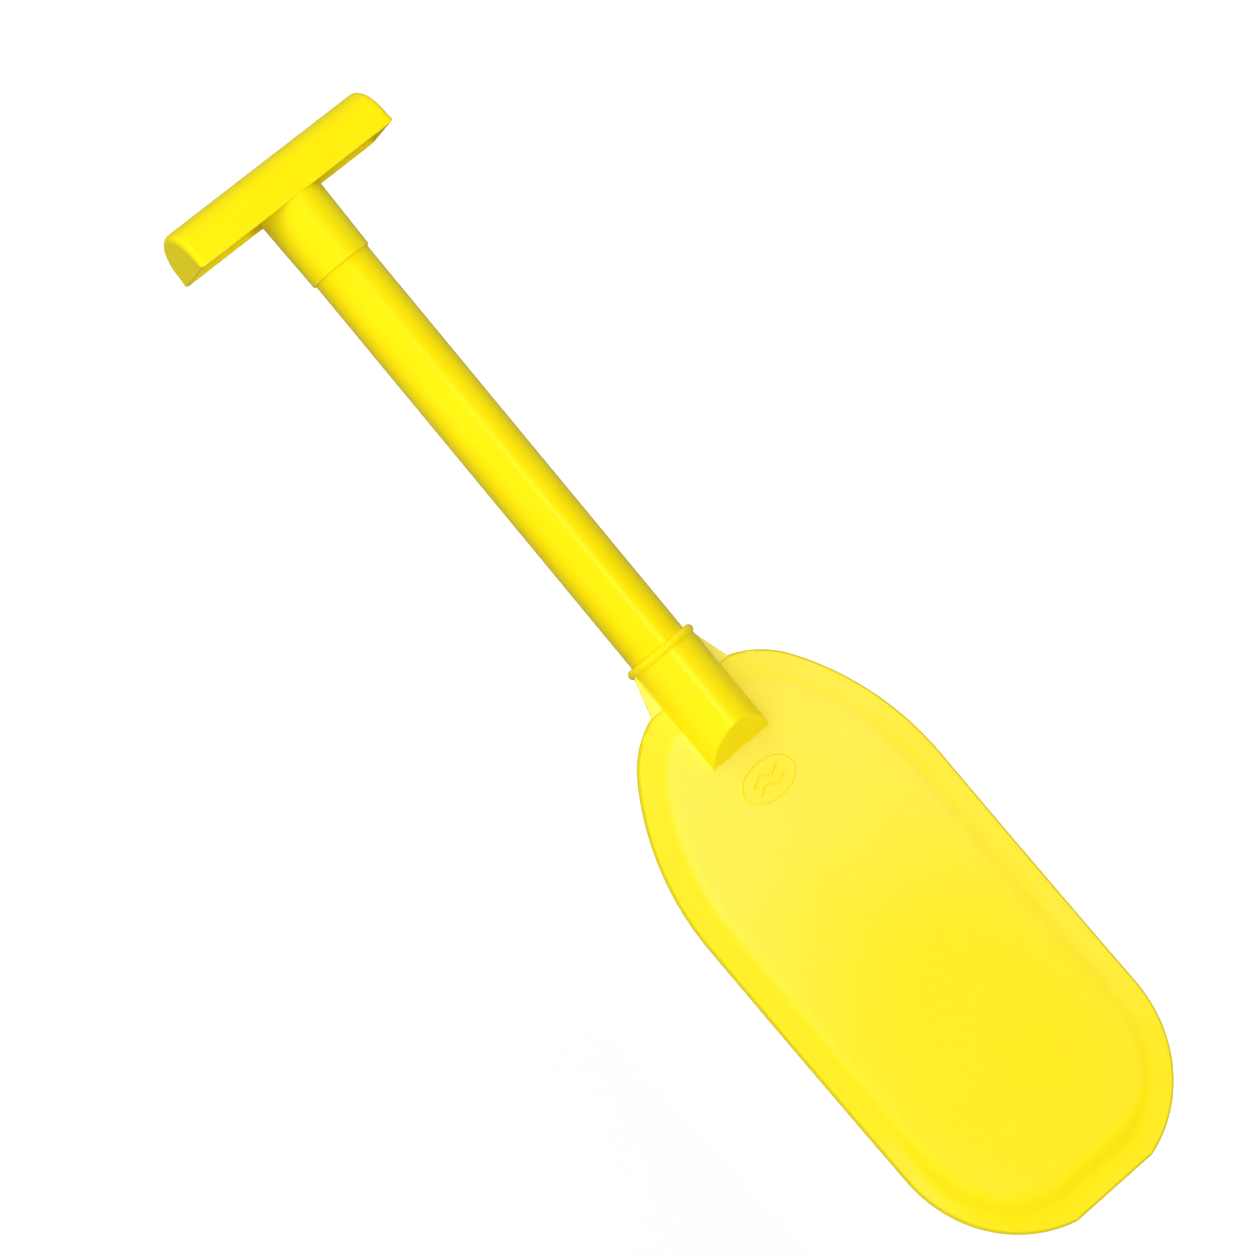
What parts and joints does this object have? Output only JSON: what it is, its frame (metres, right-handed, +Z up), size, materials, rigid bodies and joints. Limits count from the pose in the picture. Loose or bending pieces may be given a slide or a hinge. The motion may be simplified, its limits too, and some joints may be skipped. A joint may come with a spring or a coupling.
{
  "type": "boat paddle",
  "caption": "Short one-hand boat paddle: hollow T-grip, round tube shaft and flat rounded blade with a round socket and raised panel.",
  "frame": {"origin": "under the middle of the paddle's box, at the height of its lowest point when it lies with the blade's front face up", "axes": "+X along the shaft towards the blade's tip, +Y across the blade, +Z up out of the blade's front face"},
  "size_m": [0.6442, 0.1584, 0.0398],
  "materials": {
    "grip_plastic": "satin moulded, opaque yellow",
    "tube_plastic": "semi-gloss extruded, opaque yellow",
    "blade_plastic": "soft satin moulded, slightly translucent yellow"
  },
  "bodies": {
    "root": {"t_grip": "grip_plastic", "shaft_tube": "tube_plastic", "blade": "blade_plastic"}
  },
  "joints": []
}
